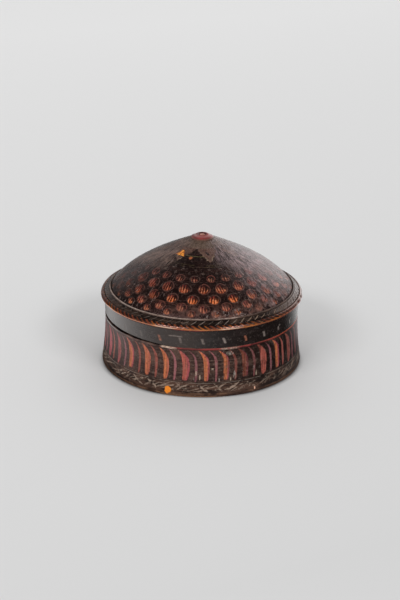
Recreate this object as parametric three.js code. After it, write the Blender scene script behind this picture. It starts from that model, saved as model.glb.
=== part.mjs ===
// Round lacquered box with a conical lid that lifts off.
//
// The body is a hoop-built cylinder with a waisted outside. A straight liner stands on the floor and
// rises above the body as a neck, and the skirt of the lid slides down over that neck until it rests
// on the rim hoop. The lid is a thin conical crown seated in a moulded flange, with the skirt below it
// and a turned button pegged through its tip.
//
// Millimetres, +Z up. The origin is on the axis, on the plane that the foot stands on.

import * as THREE from "three";

// Driving dimensions of the body.
const innerRadius = 70.2; // clear radius inside the box
const linerWall = 2.2;
const waistWall = 4; // body wall at its narrowest, where it is waisted
const footFlare = 3.1; // how far the foot stands out past the waist
const flarePower = 1.7; // 1 is a straight flare and 2 a parabola
const lipHeight = 2; // turned-in lip of the foot ring, which carries the floor
const lipWidth = 4.7; // how far the lip reaches under the floor
const floorThickness = 4;
const bandHeight = 6; // ornamented hoop above the foot ring
const tongueWall = 3; // reduced foot of the wall, inside the band
const wallHeight = 25.5; // striped part of the wall
const rimHeight = 1.5; // hoop that the lid rests on
const waistDrop = 4; // waist below the seam of lid and body
const footEdge = 1.2; // rounding of the edge that the box stands on

// Driving dimensions of the lid.
const skirtHeight = 15; // plain band below the flange
const skirtFlare = 0.8; // the skirt widens by this towards the flange
const tenonHeight = 3; // reduced top of the skirt, let into the flange
const tenonWall = 2.6;
const neckHeadroom = 7; // from the neck's end up to the flange
const flangeOverhang = 3.1; // widest edge of the lid past the waist
const edgeHeight = 4; // outer hoop of the flange
const edgeWidth = 2.6;
const edgeLean = 1.1; // the hoop's outside leans in by this
const edgeChamfer = 0.6;
const flangeRise = 2.3; // slope of the flange from its hoop to the crown
const shelfDrop = 1; // seat of the crown below the top of the flange
const seatWidth = 3.9;
const crownInset = 5.1; // foot of the crown inside the waist
const crownFoot = 1.9; // upright foot below the crown's curve
const crownRise = 39.3; // height of the curve
const crownWall = 3.2;
const footSlope = 53; // degrees from the horizontal
const tipSlope = 25.2;
const footPull = 21.65; // how far each end holds the curve to its slope
const tipPull = 20.3;
const beadWidth = 1.5; // half-round hoop round the foot of the crown
const beadHeight = 1.2;
const buttonRadius = 9.2;
const buttonHeight = 3;
const buttonTopRadius = 4.9;
const dishRadius = 3.6; // hollow in the button, round the head of its peg
const dishDepth = 0.9;
const pegRadius = 2.2;
const pegTail = 2; // length of the peg showing inside the lid

// Clearances.
const glueGap = 0.3; // between pieces that are glued one inside the other
const slideGap = 0.4; // between the neck and the skirt

// Fineness of the turned surfaces. Pieces that nest share the facets, so their walls stay parallel.
const facets = 64;
const buttonFacets = 48;
const pegFacets = 24;
const curveSteps = 12;
const wallSteps = 6;
const arcSteps = 4;

// Radii and levels that several pieces share.
const neckRadius = innerRadius + linerWall;
const wallBore = neckRadius + glueGap;
const skirtBore = neckRadius + slideGap;
const tongueRadius = wallBore + tongueWall;
const bandBore = tongueRadius + glueGap;
const waistRadius = wallBore + waistWall;
const floorTop = lipHeight + floorThickness;
const bandTop = floorTop + bandHeight;
const wallTop = bandTop + wallHeight;
const seam = wallTop + rimHeight;
const waistLevel = seam - waistDrop;

// Levels of the lid, measured up from the seam.
const flangeBottom = skirtHeight;
const tenonTop = flangeBottom + tenonHeight;
const edgeTop = flangeBottom + edgeHeight;
const flangeTop = edgeTop + flangeRise;
const crownSeat = flangeTop - shelfDrop;
const curveStart = crownSeat + crownFoot;
const curveEnd = curveStart + crownRise;
const crownRadius = waistRadius - crownInset;
const flangeRadius = waistRadius + flangeOverhang;
const edgeBore = flangeRadius - edgeWidth;
const flangeCore = edgeBore - glueGap;
const tenonRadius = skirtBore + tenonWall;
const pegHole = pegRadius + glueGap;

const blackLacquer = { color: 0x1c1512, roughness: 0.3, metalness: 0 };
const stripedLacquer = { color: 0x4a2018, roughness: 0.35, metalness: 0 };
const brownLacquer = { color: 0x3b2a20, roughness: 0.45, metalness: 0 };
const scaledLacquer = { color: 0x5a2a1a, roughness: 0.32, metalness: 0 };
const orangeLacquer = { color: 0x9a4a22, roughness: 0.4, metalness: 0 };
const redLacquer = { color: 0x8a2a20, roughness: 0.4, metalness: 0 };
const liningLacquer = { color: 0x7a2418, roughness: 0.45, metalness: 0 };

const at = (radius, level) => new THREE.Vector2(radius, level);

// Outside of the box below the seam: a waist that flares out to the foot.
function bodyRadius(level) {
  const drop = Math.max(0, waistLevel - level) / waistLevel;
  return waistRadius + footFlare * Math.pow(drop, flarePower);
}

// Outside of the skirt, at a height above the seam.
function skirtRadius(level) {
  return waistRadius + skirtFlare * Math.pow(level / skirtHeight, 2);
}

// Points of an outside surface from one level to another.
function outline(radiusAt, from, to, steps) {
  return Array.from({ length: steps + 1 }, (_, i) => {
    const level = i === steps ? to : from + ((to - from) * i) / steps;
    return at(radiusAt(level), level);
  });
}

// Points of a circular or elliptical arc about a centre, with angles in degrees.
function arc(centre, width, height, from, to) {
  return Array.from({ length: arcSteps + 1 }, (_, i) => {
    const angle = THREE.MathUtils.degToRad(from + ((to - from) * i) / arcSteps);
    return at(centre.x + width * Math.cos(angle), centre.y + height * Math.sin(angle));
  });
}

// A turned piece: its half section, given in either sense, swept round the Z axis.
function turned(name, section, finish, sides = facets) {
  const onAxis = section[0].x === 0 && section[section.length - 1].x === 0;
  const points = THREE.ShapeUtils.area(section) > 0 ? section : section.slice().reverse();
  if (!onAxis) points.push(points[0]);
  const geometry = new THREE.LatheGeometry(points, sides).rotateX(Math.PI / 2);
  const mesh = new THREE.Mesh(geometry, new THREE.MeshStandardMaterial(finish));
  mesh.name = name;
  return mesh;
}

// Ring that the box stands on. Its lip reaches in under the floor.
function footRing() {
  return turned("foot_ring", [
    ...arc(at(bodyRadius(footEdge) - footEdge, footEdge), footEdge, footEdge, -90, 0),
    ...outline(bodyRadius, footEdge, floorTop, 2).slice(1),
    at(bandBore, floorTop),
    at(bandBore, lipHeight),
    at(tongueRadius - lipWidth, lipHeight),
    at(tongueRadius - lipWidth, 0),
  ], brownLacquer);
}

// Round plate dropped into the foot ring.
function floorDisc() {
  return turned("floor_disc", [
    at(0, lipHeight),
    at(tongueRadius, lipHeight),
    at(tongueRadius, floorTop),
    at(0, floorTop),
  ], liningLacquer);
}

// Hoop with the scroll border, slipped over the foot of the wall.
function footBand() {
  return turned("foot_band", [
    at(bandBore, floorTop),
    ...outline(bodyRadius, floorTop, bandTop, 2),
    at(bandBore, bandTop),
  ], brownLacquer);
}

// Waisted wall. Its tongue stands on the floor, and its shoulder on the band.
function bodyWall() {
  return turned("body_wall", [
    at(wallBore, floorTop),
    at(tongueRadius, floorTop),
    at(tongueRadius, bandTop),
    ...outline(bodyRadius, bandTop, wallTop, wallSteps),
    at(wallBore, wallTop),
  ], stripedLacquer);
}

// Thin hoop that closes the top of the wall and carries the lid.
function rimHoop() {
  return turned("rim_hoop", [
    at(wallBore, wallTop),
    ...outline(bodyRadius, wallTop, seam, 1),
    at(wallBore, seam),
  ], redLacquer);
}

// Straight liner. What shows of it above the rim is the neck that the lid slides over.
function neckLiner() {
  const neckTop = seam + tenonTop - neckHeadroom;
  return turned("neck_liner", [
    at(innerRadius, floorTop),
    at(neckRadius, floorTop),
    at(neckRadius, neckTop),
    at(innerRadius, neckTop),
  ], liningLacquer);
}

// Plain band of the lid, with a tenon let up into the flange.
function lidSkirt() {
  return turned("lid_skirt", [
    at(skirtBore, 0),
    ...outline(skirtRadius, 0, flangeBottom, 3),
    at(tenonRadius, flangeBottom),
    at(tenonRadius, tenonTop),
    at(skirtBore, tenonTop),
  ], blackLacquer);
}

// Moulded ring that joins the skirt, the crown and the outer hoop.
function lidFlange() {
  const shelfRadius = crownRadius + glueGap;
  const beadSeat = shelfRadius + beadWidth + glueGap;
  return turned("lid_flange", [
    at(crownRadius - seatWidth, crownSeat),
    at(crownRadius - seatWidth, tenonTop),
    at(tenonRadius + glueGap, tenonTop),
    at(tenonRadius + glueGap, flangeBottom),
    at(flangeCore, flangeBottom),
    at(flangeCore, edgeTop),
    at(beadSeat, flangeTop),
    at(shelfRadius, flangeTop),
    at(shelfRadius, crownSeat),
  ], blackLacquer);
}

// Hoop round the edge of the flange, the widest piece of the lid.
function lidEdgeHoop() {
  const topRadius = flangeRadius - edgeLean;
  return turned("lid_edge_hoop", [
    at(edgeBore, flangeBottom),
    at(flangeRadius - edgeChamfer * 2, flangeBottom),
    at(flangeRadius, flangeBottom + edgeChamfer),
    at(topRadius, edgeTop - edgeChamfer),
    at(topRadius - edgeChamfer, edgeTop),
    at(edgeBore, edgeTop),
  ], orangeLacquer);
}

// Outside of the crown: a curve held to one slope at its foot and to another at its tip.
function crownCurve() {
  const footAngle = THREE.MathUtils.degToRad(footSlope);
  const tipAngle = THREE.MathUtils.degToRad(tipSlope);
  const foot = at(crownRadius, curveStart);
  const tip = at(buttonRadius, curveEnd);
  const footHold = at(foot.x - footPull * Math.cos(footAngle), foot.y + footPull * Math.sin(footAngle));
  const tipHold = at(tip.x + tipPull * Math.cos(tipAngle), tip.y - tipPull * Math.sin(tipAngle));
  return new THREE.CubicBezierCurve(foot, footHold, tipHold, tip);
}

// Conical shell. Its inside is the outside's curve, set in by the wall and cut off at the seat.
function lidCrown() {
  const curve = crownCurve();
  const outside = curve.getPoints(curveSteps);
  const inside = outside.map((point, i) => {
    const along = curve.getTangent(i / curveSteps);
    return at(point.x - crownWall * along.y, point.y + crownWall * along.x);
  });
  const first = inside.findIndex((point) => point.y > crownSeat);
  const above = inside[first];
  const below = first > 0 ? inside[first - 1] : at(above.x, crownSeat);
  const cut = (crownSeat - below.y) / (above.y - below.y);
  return turned("lid_crown", [
    at(crownRadius, crownSeat),
    ...outside,
    at(pegHole, curveEnd),
    at(pegHole, inside[curveSteps].y),
    ...inside.slice(first).reverse(),
    at(below.x + cut * (above.x - below.x), crownSeat),
  ], scaledLacquer);
}

// Half-round hoop that hides the joint of crown and flange.
function crownBead() {
  const bore = crownRadius + glueGap;
  const section = arc(at(bore + beadWidth / 2, flangeTop), beadWidth / 2, beadHeight, 0, 180);
  return turned("crown_bead", section, brownLacquer);
}

// Button at the tip, with a dished top and a hole for its peg.
function tipButton() {
  const top = curveEnd + buttonHeight;
  return turned("tip_button", [
    at(pegHole, curveEnd),
    at(buttonRadius, curveEnd),
    at(buttonRadius, curveEnd + buttonHeight / 6),
    at(buttonTopRadius, top - buttonHeight / 10),
    at((buttonTopRadius + dishRadius) / 2, top),
    at(dishRadius, top - dishDepth / 4),
    at(pegHole, top - dishDepth),
  ], redLacquer, buttonFacets);
}

// Peg that holds the button down to the crown.
function tipPeg() {
  const head = curveEnd + buttonHeight;
  return turned("tip_peg", [
    at(0, curveEnd - crownWall - pegTail),
    at(pegRadius, curveEnd - crownWall - pegTail),
    at(pegRadius, head - dishDepth / 2),
    at(pegRadius / 2, head - dishDepth / 4),
    at(0, head - dishDepth / 4),
  ], brownLacquer, pegFacets);
}

const body = new THREE.Group();
body.add(footRing(), floorDisc(), footBand(), bodyWall(), rimHoop(), neckLiner());

const lid = new THREE.Group();
lid.position.z = seam;
lid.add(lidSkirt(), lidFlange(), lidEdgeHoop(), lidCrown(), crownBead(), tipButton(), tipPeg());

const box = new THREE.Group();
box.add(body, lid);

export default box;
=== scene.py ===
# Round lacquered box with a conical lid, worn and handled. It is built up here as it is put together:
# the foot, floor and wall of the box with its neck, and then the lid from its skirt to its tip.

import math

import bpy
import numpy as np
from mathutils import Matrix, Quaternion, Vector


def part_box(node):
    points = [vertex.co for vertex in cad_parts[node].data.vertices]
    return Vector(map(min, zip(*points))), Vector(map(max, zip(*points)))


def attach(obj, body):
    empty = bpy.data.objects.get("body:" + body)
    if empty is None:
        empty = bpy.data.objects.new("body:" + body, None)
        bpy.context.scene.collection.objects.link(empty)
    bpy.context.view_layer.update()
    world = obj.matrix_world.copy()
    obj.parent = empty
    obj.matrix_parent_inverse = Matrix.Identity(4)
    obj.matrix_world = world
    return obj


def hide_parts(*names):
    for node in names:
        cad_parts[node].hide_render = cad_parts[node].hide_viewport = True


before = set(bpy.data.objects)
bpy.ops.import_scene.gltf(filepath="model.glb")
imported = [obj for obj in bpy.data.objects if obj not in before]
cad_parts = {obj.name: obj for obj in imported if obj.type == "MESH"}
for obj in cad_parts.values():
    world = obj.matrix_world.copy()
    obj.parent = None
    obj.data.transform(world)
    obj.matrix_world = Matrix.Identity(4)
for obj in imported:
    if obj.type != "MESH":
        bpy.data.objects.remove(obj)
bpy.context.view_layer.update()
scene = bpy.context.scene
scene.view_settings.view_transform = "Standard"


# Camera. It stands a little over a metre off and looks down at the box through a long lens, leaning by
# half a degree, as the photograph was taken.
mm = 0.001
camera_elevation = math.radians(22.05)
camera_distance = 1.127
camera_aim = Vector((-1.34 * mm, 0, 47.5 * mm))
camera_lean = math.radians(0.45)

camera = bpy.data.objects.new("camera", bpy.data.cameras.new("camera"))
scene.collection.objects.link(camera)
scene.camera = camera
camera.data.lens = 85
camera.data.sensor_width = 36
towards_camera = Vector((0, -math.cos(camera_elevation), math.sin(camera_elevation)))
camera.rotation_mode = "QUATERNION"
camera.rotation_quaternion = towards_camera.to_track_quat("Z", "Y") @ Quaternion((0, 0, 1), camera_lean)
camera.location = camera_aim + camera_distance * towards_camera


# Foot ring. A turned ring of wood that the box stands on, with a lip turned in under the floor. Its black
# has rubbed off on shelves, down to brown wood with dark streaks, and its bottom edge is rounded.
waist_drop = 4 * mm
flare_power = 1.7
foot_rounding = 1.2 * mm
foot_lip = 8.4 * mm
seat_gap = 0.3 * mm
joint_rounding = 0.12 * mm
turning_steps = 360
arc_steps = 5
hand_waver = 0.3 * mm
foot_low, foot_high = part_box("foot_ring")
floor_low, floor_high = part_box("floor_disc")
rim_low, rim_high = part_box("rim_hoop")
waist_radius = rim_high.x
waist_level = rim_high.z - waist_drop
foot_flare = (foot_high.x - waist_radius) / ((waist_level - foot_rounding) / waist_level) ** flare_power


def body_radius(level):
    """Outside of the box below the lid: a waist that flares out to the foot."""
    drop = max(0, waist_level - level) / waist_level
    return waist_radius + foot_flare * drop ** flare_power


def outside(radius_at, low, high, steps):
    """Points up an outside surface, as (radius, height)."""
    levels = [low + (high - low) * i / steps for i in range(steps + 1)]
    return [(radius_at(level), level) for level in levels]


def softened(corners):
    """Points of a closed outline from its corners, each (radius, height) or (radius, height, rounding)."""
    points = []
    for i, corner in enumerate(corners):
        here = Vector(corner[:2])
        if len(corner) == 2:
            points.append(tuple(here))
            continue
        before = Vector(corners[i - 1][:2]) - here
        after = Vector(corners[(i + 1) % len(corners)][:2]) - here
        reach = min(corner[2], 0.45 * before.length, 0.45 * after.length)
        start, end = here + before.normalized() * reach, here + after.normalized() * reach
        if before.length > 4 * reach:
            points.append(tuple(start + before.normalized() * reach))
        for step in range(arc_steps + 1):
            t = step / arc_steps
            points.append(tuple(start * (1 - t) ** 2 + here * 2 * t * (1 - t) + end * t ** 2))
        if after.length > 4 * reach:
            points.append(tuple(end + after.normalized() * reach))
    return points


def turned(name, section, materials, inner=None, shape=None, steps=turning_steps):
    """A piece swept round the axis from its closed half section, a list of (radius, height) points.

    The faces for which inner(radius, height) holds get the second material, and shape(angle, radius,
    height) may give a changed radius and height. Each point keeps how far along the section it lies.
    """
    area = sum(a[0] * b[1] - b[0] * a[1] for a, b in zip(section, section[1:] + section[:1]))
    lengths = np.cumsum([0] + [math.dist(a, b) for a, b in zip(section, section[1:])]).tolist()
    points = [(*point, length) for point, length in zip(section, lengths)]
    if area < 0:
        points.reverse()
    vertices, numbers, along = [], [], []
    for radius, height, length in points:
        count = 1 if radius < 1e-9 else steps
        first = len(vertices)
        numbers.append([first + k % count for k in range(steps)])
        for k in range(count):
            angle = 2 * math.pi * k / steps
            waver = 0.5 + 0.3 * math.sin(2 * angle + 1.3) + 0.2 * math.sin(3 * angle + 4.1)
            true = radius - hand_waver * waver * radius / waist_radius
            true, level = shape(angle, true, height) if shape else (true, height)
            vertices.append((true * math.sin(angle), -true * math.cos(angle), level))
            along.append(length)
    faces, kinds = [], []
    for j, (radius, height, _) in enumerate(points):
        lower, upper = numbers[j], numbers[(j + 1) % len(points)]
        next_radius, next_height, _ = points[(j + 1) % len(points)]
        if lower[0] == lower[1] and upper[0] == upper[1]:
            continue
        kind = int(bool(inner and inner((radius + next_radius) / 2, (height + next_height) / 2)))
        for k in range(steps):
            after = (k + 1) % steps
            face = [lower[k], lower[after], upper[after], upper[k]]
            faces.append([n for i, n in enumerate(face) if n not in face[:i]])
            kinds.append(kind)
    mesh = bpy.data.meshes.new(name)
    mesh.from_pydata(vertices, [], faces)
    for material in materials:
        mesh.materials.append(material)
    mesh.polygons.foreach_set("material_index", kinds)
    mesh.attributes.new("along", "FLOAT", "POINT").data.foreach_set("value", along)
    mesh.shade_smooth()
    piece = bpy.data.objects.new(name, mesh)
    scene.collection.objects.link(piece)
    return piece


def fixed(piece, node, body):
    """The piece stands for a node of the frame and rides with its body."""
    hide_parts(node)
    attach(piece, body)


class Field:
    """A number, colour or vector that changes from place to place: a socket that sums can build on."""

    def __init__(self, socket):
        self.socket = socket
        self.tree = socket.id_data

    def __rsub__(self, other):
        return calc(self.tree, "SUBTRACT", other, self)

    def rise(self, low, high):
        """0 up to low and 1 from high on, softly stepped. With low above high it falls instead."""
        inputs = {"Value": self, "From_Min": low, "From_Max": high}
        step = add_node(self.tree, "ShaderNodeMapRange", {"interpolation_type": "SMOOTHSTEP"}, **inputs)
        return Field(step.outputs[0])

    def near(self, place, half, soft):
        """1 within half of a place and 0 farther off, with soft edges."""
        return (self - place).size().rise(half + soft, half - soft)

    def between(self, start, full, last, end):
        """Rises from start to full and falls again from last to end."""
        return self.rise(start, full) * self.rise(end, last)


def through_node(operation):
    """A method that puts a field, and what it is summed with, through one Math node."""
    return lambda field, *others: calc(field.tree, operation, field, *others)


for method, operation in {
    "__add__": "ADD", "__radd__": "ADD", "__sub__": "SUBTRACT", "__mul__": "MULTIPLY",
    "__rmul__": "MULTIPLY", "__truediv__": "DIVIDE", "__pow__": "POWER", "__mod__": "FLOORED_MODULO",
    "floor": "FLOOR", "size": "ABSOLUTE", "least": "MINIMUM", "most": "MAXIMUM",
}.items():
    setattr(Field, method, through_node(operation))


def paint(code):
    """A colour as the shader takes it, from the hex code that a colour picker shows."""
    parts = [int(code[i:i + 2], 16) / 255 for i in (1, 3, 5)]
    return tuple(p / 12.92 if p <= 0.04045 else ((p + 0.055) / 1.055) ** 2.4 for p in parts) + (1,)


def feed(socket, value):
    """Puts a field, a hex colour or a plain value into a socket."""
    if isinstance(value, Field):
        socket.id_data.links.new(value.socket, socket)
    else:
        socket.default_value = paint(value) if isinstance(value, str) else value


def add_node(tree, kind, settings=None, **inputs):
    """A node with its settings, its inputs fed by name with _ for a space."""
    node = tree.nodes.new(kind)
    for setting, value in (settings or {}).items():
        setattr(node, setting, value)
    for title, value in inputs.items():
        feed(node.inputs[title.replace("_", " ")], value)
    return node


def calc(tree, operation, *values):
    """One Math node."""
    node = add_node(tree, "ShaderNodeMath", {"operation": operation})
    for socket, value in zip(node.inputs, values):
        feed(socket, value)
    return Field(node.outputs[0])


def new_group(name, takes, gives, kinds=None, tree_kind="ShaderNodeTree"):
    """A node group with named sockets, numbers unless kinds says otherwise, and the fields that come in."""
    tree = bpy.data.node_groups.new(name, tree_kind)
    for way, titles in (("INPUT", takes), ("OUTPUT", gives)):
        for title in titles:
            kind = (kinds or {}).get(title, "Float")
            tree.interface.new_socket(title, in_out=way, socket_type="NodeSocket" + kind)
    source = tree.nodes.new("NodeGroupInput")
    tree.nodes.new("NodeGroupOutput")
    return tree, [Field(source.outputs[title]) for title in takes]


def give(tree, **fields):
    """Sends fields out through a group's named sockets."""
    for title, field in fields.items():
        feed(tree.nodes["Group Output"].inputs[title.replace("_", " ")], field)


def use(tree, group, **inputs):
    """Places a node group in a tree and returns the fields that it gives."""
    node = add_node(tree, "ShaderNodeGroup", {"node_tree": group}, **inputs)
    fields = [Field(socket) for socket in node.outputs]
    return fields if len(fields) > 1 else fields[0]


def split(field):
    """The three numbers of a vector or colour."""
    return [Field(socket) for socket in add_node(field.tree, "ShaderNodeSeparateXYZ", Vector=field).outputs]


def joined(x, y, z):
    """A vector from three numbers, of which at least one is a field."""
    tree = next(number.tree for number in (x, y, z) if isinstance(number, Field))
    return Field(add_node(tree, "ShaderNodeCombineXYZ", X=x, Y=y, Z=z).outputs[0])


def slant(x, y):
    """How long a line is that goes x across and y up."""
    return (x * x + y * y) ** 0.5


def mix(share, first, second):
    """A colour between two colours."""
    node = add_node(share.tree, "ShaderNodeMix", {"data_type": "RGBA"})
    for number, value in ((0, share), (6, first), (7, second)):
        feed(node.inputs[number], value)
    return Field(node.outputs[2])


def coats(ground, *layers):
    """A ground with layers over it, each the share that it covers and its colour."""
    for share, colour in layers:
        ground = mix(share, ground, colour)
    return ground


def noise(vector, scale, detail=3, roughness=0.55):
    """Soft noise around a half."""
    inputs = {"Vector": vector, "Scale": scale, "Detail": detail, "Roughness": roughness}
    return Field(add_node(vector.tree, "ShaderNodeTexNoise", **inputs).outputs[0])


def drawn(x, y, z, detail=3, roughness=0.55):
    """Noise drawn out into streaks: the less a number is multiplied, the longer they run that way."""
    return noise(joined(x, y, z), 1, detail, roughness)


def dice(number):
    """Three even random numbers that belong to a whole number."""
    node = add_node(number.tree, "ShaderNodeTexWhiteNoise", {"noise_dimensions": "1D"}, W=number)
    return split(Field(node.outputs["Color"]))


def own_point(tree):
    """The point of the surface, in the piece's own coordinates."""
    return Field(add_node(tree, "ShaderNodeTexCoord").outputs["Object"])


def lacquered(name, recipe, seed, up=1, out=0, polish=1.5, sheen="#ffc8ba"):
    """A material whose recipe gives its colour, its roughness and its relief in mm.

    The recipe gets the fields of the turned surface, with its streaks following the height for up and
    the radius for out.
    """
    material = bpy.data.materials.new(name)
    material.use_nodes = True
    tree = material.node_tree
    surface = use(tree, turned_surface, Up=up, Out=out, Seed=seed)
    colour, roughness, relief = recipe(tree, *surface)
    bump = add_node(tree, "ShaderNodeBump", Height=relief * mm, Distance=1)
    sockets = {"Base Color": colour, "Roughness": roughness, "Normal": Field(bump.outputs[0])}
    for title, value in {**sockets, "IOR": polish, "Specular Tint": sheen}.items():
        feed(tree.nodes["Principled BSDF"].inputs[title], value)
    return material


# Where a point lies on a turned piece, with degrees counted from the front towards the right, and the fine
# streaks and broad blotches of its lacquer.
turned_surface, (up, out, seed) = new_group(
    "turned surface",
    ["Up", "Out", "Seed"],
    ["Turns", "Degrees", "Radius", "Height", "Point", "Streaks", "Blotches"],
    {"Point": "Vector"},
)
place = own_point(turned_surface)
x, y, z = split(place)
turns = calc(turned_surface, "ARCTAN2", x, 0 - y) / (2 * math.pi)
radius = slant(x, y)
streaks = drawn(x * 22 + seed, y * 22, (z * up + radius * out) * 900)
give(turned_surface, Turns=turns, Degrees=turns * 360, Radius=radius, Height=z, Point=place)
give(turned_surface, Streaks=streaks, Blotches=drawn(x * 100 + seed, y * 100, z * 130))

# Lacquer rubbed away raggedly along an edge, as far in as Reach.
rubbed_edge, (distance, reach, seed) = new_group("rubbed edge", ["Distance", "Reach", "Seed"], ["Rubbed"])
x, y, z = split(own_point(rubbed_edge))
ragged = drawn(x * 160 + seed, y * 160, z * 160, 4, 0.65)
give(rubbed_edge, Rubbed=(distance / reach + ragged * 1.6).rise(1.45, 0.95))

# Patches of dust, wear or broken paint: none where the noise is below Bare, and whole where it is over Full.
worn_patches, (scale, bare, full, detail, roughness) = new_group(
    "patches", ["Scale", "Bare", "Full", "Detail", "Roughness"], ["Patches"]
)
give(worn_patches, Patches=noise(own_point(worn_patches), scale, detail, roughness).rise(bare, full))


def patches(tree, scale, bare, full, detail=3, roughness=0.55):
    """Patches over a piece, finer with a higher scale."""
    return use(tree, worn_patches, Scale=scale, Bare=bare, Full=full, Detail=detail, Roughness=roughness)


# A single spot where the lacquer has flaked off.
flaked_spot, (centre, half_size, ragged) = new_group(
    "flaked spot", ["Centre", "Half size", "Ragged"], ["Flaked"], {"Centre": "Vector", "Half size": "Vector"}
)
place = own_point(flaked_spot)
parts = zip(split(place), split(centre), split(half_size))
x, y, z = [(here - middle) / half for here, middle, half in parts]
give(flaked_spot, Flaked=(slant(slant(x, y), z) + (noise(place, 420) - 0.5) * ragged).rise(1.05, 0.88))


def flaked(tree, angle, radius, level, half_size, ragged):
    """The flaked spot at an angle and a radius. Its level and half its width, depth and height are in mm."""
    turn = math.radians(angle)
    centre = (radius * math.sin(turn), -radius * math.cos(turn), level * mm)
    half_size = [half * mm for half in half_size]
    return use(tree, flaked_spot, Centre=centre, Half_size=half_size, Ragged=ragged)


# Even cells round the ring: the number of the cell that a point is in, and how many degrees off its middle.
ring_cells, (turns, count, phase) = new_group(
    "cells round the ring", ["Turns", "Count", "Phase"], ["Number", "Off"]
)
counted = (turns - phase / 360) * count
number = (counted + 0.5).floor()
give(ring_cells, Number=number % count, Off=(counted - number) * 360 / count)

# The border of scrolls that runs over foot and band. Four rings of leaning strokes lie over one another, each
# with a count, a phase, a lean and half the width of a stroke, in degrees.
scroll_middle = 7.2
scroll_half = 3.6
scroll_rings = ((46, 1.5, 4.6, 1.3), (46, 5.4, 5.4, 0.6), (38, 0, -3.6, 0.8), (31, 3, 9, 0.9))
scroll_strokes, _ = new_group("scroll strokes", [], ["Strokes"])
turns, degrees, _, height, place, _, _ = use(scroll_strokes, turned_surface)
wander = (noise(place, 110) - 0.5) * 9
rise = (height / mm - scroll_middle) / scroll_half
leaves = 0
for count, phase, lean, half in scroll_rings:
    drift = turns + (wander - rise * lean) / 360
    number, off = use(scroll_strokes, ring_cells, Turns=drift, Count=count, Phase=phase)
    first, second, third = dice(number + 2 + phase)
    swell = (1 - rise * rise).most(0) * half * (first * 0.7 + 0.5)
    stroke = (off.size() - swell).rise(0.5, -0.2) * (rise - second * 0.9 + 0.45).size().rise(0.95, 0.75)
    leaves = (stroke * third.rise(0.2, 0.35) * (first * 0.6 + 0.4)).most(leaves)
patchy = noise(place, 330, 4, 0.7).rise(0.36, 0.56) * (1 - degrees.near(52, 22, 14) * 0.5)
give(scroll_strokes, Strokes=leaves * patchy * (height / mm).rise(2.6, 4.6))

old_black = "#120e0d"
bare_wood = "#7c5b45"
stroke_grey = "#a5907f"
dust_grey = "#8a7a6c"
chip_orange = "#ef8a28"
# Two spots on the foot where the lacquer is off, as flaked takes them.
chip = (-18.6, foot_high.x, 4.8, (2.7, 2.7, 3.4), 1.3)
small_chip = (31, foot_high.x, 3.5, (0.7, 0.9, 1.5), 0.8)


def foot_recipe(tree, turns, degrees, radius, height, place, streaks, blotches):
    rubbed = use(tree, rubbed_edge, Distance=height - 1 * mm, Reach=3.6 * mm, Seed=0.4)
    held = degrees.near(-4, 24, 14)
    strokes = use(tree, scroll_strokes)
    remains = drawn(turns * 34, 0, height * 260, 3, 0.6).rise(0.52, 0.60)
    wood = coats("#2b1c16", (streaks.rise(0.36, 0.60), bare_wood), (remains * 0.8, old_black))
    chipped = flaked(tree, *chip)
    spot = flaked(tree, *small_chip)
    colour = coats(
        old_black,
        ((streaks * 0.5 + blotches * 0.5).rise(0.42, 0.60), "#4c372d"),
        (strokes * 0.82, stroke_grey),
        (rubbed * (held * 0.45 + 0.45), wood),
        (patches(tree, 520, 0.6, 0.7, 4, 0.7) * 0.5, dust_grey),
        (chipped.most(spot), mix(spot, chip_orange, "#e8b49a")),
    )
    relief = streaks * 0.1 - chipped * 0.35 - rubbed * 0.1 + strokes * 0.06
    return colour, rubbed * 0.22 + streaks * 0.15 + 0.32, relief


foot = turned(
    "worn_foot",
    softened([
        (body_radius(foot_rounding), foot_low.z, foot_rounding),
        *outside(body_radius, foot_rounding * 1.5, foot_high.z - joint_rounding * 3, 6),
        (body_radius(foot_high.z), foot_high.z, joint_rounding),
        (floor_high.x + seat_gap, foot_high.z),
        (floor_high.x + seat_gap, floor_low.z),
        (foot_high.x - foot_lip, floor_low.z, 2 * joint_rounding),
        (foot_high.x - foot_lip, foot_low.z, 3 * joint_rounding),
    ]),
    [lacquered("worn foot", foot_recipe, 3, out=1)],
)
fixed(foot, "foot_ring", "box_body")


# Floor. A disc of wood let into the foot ring, red lacquer inside the box with faint rings from the lathe.
# Its underside is black, scuffed and dusty where it was never touched up.
brown_black = "#3b2a21"


def lining_recipe(tree, turns, degrees, radius, height, place, streaks, blotches):
    worn = patches(tree, 240, 0.64, 0.70, 5, 0.7)
    colour = coats(
        "#8a2d22",
        (blotches.rise(0.35, 0.68), "#5a1c17"),
        (streaks.rise(0.55, 0.75) * 0.5, "#3a1512"),
        (worn * 0.7, "#4b2b20"),
    )
    return colour, blotches * 0.25 + 0.25, streaks * 0.08 - worn * 0.05


def underside_recipe(tree, turns, degrees, radius, height, place, streaks, blotches):
    scuffed = blotches.rise(0.5, 0.75) * 0.5
    colour = coats(old_black, (streaks.rise(0.45, 0.65), brown_black), (scuffed, "#5a4436"))
    return colour, blotches * 0.2 + 0.45, streaks * 0.1


lining = lacquered("red lining", lining_recipe, 11, out=1)
floor_piece = turned(
    "inside_floor",
    softened([
        (0, floor_high.z),
        (floor_high.x * 0.5, floor_high.z),
        (floor_high.x, floor_high.z, joint_rounding),
        (floor_high.x, floor_low.z, joint_rounding),
        (floor_high.x * 0.5, floor_low.z),
        (0, floor_low.z),
    ]),
    [lining, lacquered("bare underside", underside_recipe, 17, up=0, out=1)],
    inner=lambda radius, height: height < floor_high.z - 1 * mm,
)
fixed(floor_piece, "floor_disc", "box_body")


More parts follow.
